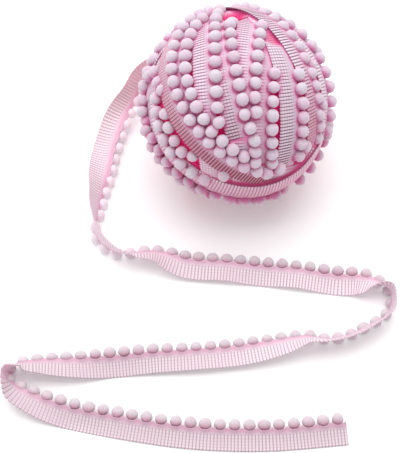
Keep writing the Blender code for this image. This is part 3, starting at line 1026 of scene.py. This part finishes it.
# ---------------------------------------------------------------- the camera
CAMERA_PLACE = (-0.0179, -0.4012, 0.622)  # in metres
CAMERA_ELEVATION = 60
SENSOR = 36.0            # along the view's longer side
FOCAL_PIXELS = 1445
VIEW_PIXELS = 453        # along that side

camera = bpy.data.objects.new("camera", bpy.data.cameras.new("camera"))
bpy.context.scene.collection.objects.link(camera)
camera.location = CAMERA_PLACE
camera.rotation_euler = (math.radians(90) - math.radians(CAMERA_ELEVATION), 0, 0)
camera.data.sensor_width = SENSOR
camera.data.lens = SENSOR * FOCAL_PIXELS / VIEW_PIXELS
camera.data.clip_start = 0.01
bpy.context.scene.camera = camera

# ---------------------------------------------------------------- the ball
hollows = [Hollow(row) for row in HOLLOWS]
turns = [Turn(row) for row in TURNS]
deep_turns = [Turn(row) for row in DEEP_TURNS]
inner_turns = []
for index in range(INNER_BANDS):
    offset = (index - (INNER_BANDS - 1) / 2) * math.degrees(TAPE_WIDTH / INNER_RADIUS)
    row = (f"inner_{index + 1}", INNER_POLE, offset, INNER_RADIUS, 0, 0, WHOLE)
    inner_turns.append(Turn(row))
top_pompoms = pompoms_of(turns, turns, 0.0)
deep_pompoms = pompoms_of(deep_turns, turns + deep_turns, DEEP_MARGIN)
all_pompoms = thin_out(top_pompoms + deep_pompoms)
push_apart(all_pompoms)
ball_tree = tree_of([pompom.place for pompom in all_pompoms])
# the middles of the painted shades that the pompoms cast on the tape below them
shade_tree = tree_of([pompom.place - SHADE_AWAY * SHADE_DROP for pompom in all_pompoms])
for turn in turns:
    turn_of_tape(turn, wound_tape, shade_tree, turns, RIB_STEPS)
for turn in deep_turns + inner_turns:
    turn_of_tape(turn, inner_tape, shade_tree, [], DEEP_RIB_STEPS)
for name, found in (("ball_pompoms", top_pompoms), ("deep_pompoms", deep_pompoms)):
    shown = [pompom for pompom in all_pompoms if pompom in found]
    ball_tufts = tufts(shown, ball_tree, TUFT_SHADE_REACH, name, wound_tufts)
    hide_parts("wound_ball")

# ---------------------------------------------------------------- the loose end
route = Route(LEAD_IN + ROUTE)
lead = route.lengths[route.knots[len(LEAD_IN)]]
fold_middle = route.lengths[route.knots[FOLD_ROW]]
count = int((route.length - lead - FIRST_POMPOM - CUT_MARGIN) / POMPOM_PITCH) + 1
middles = [lead + FIRST_POMPOM + POMPOM_PITCH * index for index in range(count)]
cut = middles[-1] + CUT_MARGIN


def fold_at(length):
    """1 at the fold of the third bend, and 0 away from it."""
    return closeness(abs(length - fold_middle), *FOLD_LENGTHS)


def puff_at(length):
    """1 midway between two pompoms of the loose end, and 0 at each."""
    swing = math.cos(math.tau * (length - middles[0]) / POMPOM_PITCH)
    return (0.5 - 0.5 * swing) ** PUFF_POWER


tail_pompoms = []
for middle in middles:
    section = Section(route, middle)
    place = section.middle - section.width * LOOSE_OUT
    root = Vector((section.width.x, section.width.y, 0.0))
    # painted light on the pompoms of the drop and of the fold
    painted_lightness = max(closeness(middle, *PAINTED_LIGHT_LENGTHS), FOLD_PAINTED_LIGHT * fold_at(middle))
    tail_pompoms.append(Pompom(place, root, POMPOM_RADIUS, painted_lightness))
tail_tree = tree_of([pompom.place for pompom in tail_pompoms])
tape = flat_tape(cut, TAPE_WIDTH, RIB_STEPS)
tuck = tape.verts.layers.float.new("tuck")
taut = tape.verts.layers.float.new("taut")
fold = tape.verts.layers.float.new("fold")
sections = {}
for vert in tape.verts:
    along, across, above = vert.co
    puff = puff_at(along)
    if along not in sections:
        sections[along] = Section(route, along, puff)
    section = sections[along]
    vert.co = section.at(across, above) * MM
    # painted shade in the tucks between two pompoms
    vert[tuck] = TUCK_SHADE * puff * max(0.0, 1 - abs(across - TUCK_MIDDLE) / TUCK_MIDDLE)
    vert[taut] = closeness(abs(section.face.z), *TAUT)
    # painted glow in the fold
    vert[fold] = fold_at(along) * vert[taut]
mark_near_pompoms(tape, tail_tree, LOOSE_TAPE_SHADE_REACH)
loose_end = new_piece("loose_end_tape", tape, loose_tape)
thicken(loose_end, 0)
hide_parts("tail_tape")

loose_pompoms = tufts(
    tail_pompoms, tail_tree, LOOSE_TUFT_SHADE_REACH, "loose_end_pompoms", loose_tufts)
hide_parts(*[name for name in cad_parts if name.startswith("edge_strip")])

# ---------------------------------------------------------------- floor and light
FLOOR_SIZE = 3.0         # half its width, in metres
FLOOR_DROP = 0.1         # below the ball's foot
FLOOR_WHITE = (0.93, 0.93, 0.93, 1.0)
WHITE = (1.0, 1.0, 1.0, 1.0)
STUDIO_LIGHT = 0.66

floor_mesh = bmesh.new()
bmesh.ops.create_grid(floor_mesh, x_segments=1, y_segments=1, size=FLOOR_SIZE)
floor_data = bpy.data.meshes.new("floor")
floor_mesh.to_mesh(floor_data)
floor_mesh.free()
floor = bpy.data.objects.new("floor", floor_data)
floor.location.z = -FLOOR_DROP * MM
bpy.context.scene.collection.objects.link(floor)
floor_material, _, floor_shader = new_material("pale floor")
set_inputs(floor_shader, {"Base Color": FLOOR_WHITE, "Roughness": 0.9,
                          "Emission Color": WHITE, "Emission Strength": 0.1})
floor_data.materials.append(floor_material)

world = bpy.data.worlds.new("studio")
bpy.context.scene.world = world
world.use_nodes = True
set_inputs(world.node_tree.nodes["Background"], {"Color": WHITE, "Strength": STUDIO_LIGHT})


def softbox(name, place, aim, size, watts):
    """A rectangular light, in metres, that looks at a point."""
    light = bpy.data.lights.new(name, "AREA")
    light.shape = "RECTANGLE"
    light.size, light.size_y = size
    light.energy = watts
    lamp = bpy.data.objects.new(name, light)
    lamp.location = place
    lamp.rotation_euler = (Vector(aim) - Vector(place)).to_track_quat("-Z", "Y").to_euler()
    bpy.context.scene.collection.objects.link(lamp)


softbox("overhead softbox", place=(-0.05, 0.4, 1.2), aim=(0, -0.03, 0.0), size=(1.6, 1.4),
        watts=17.4)
softbox("left softbox", place=(-0.9, 0.0, 0.6), aim=(0, -0.03, 0.02), size=(0.6, 0.6),
        watts=0.8)

bpy.context.scene.view_settings.view_transform = "Standard"
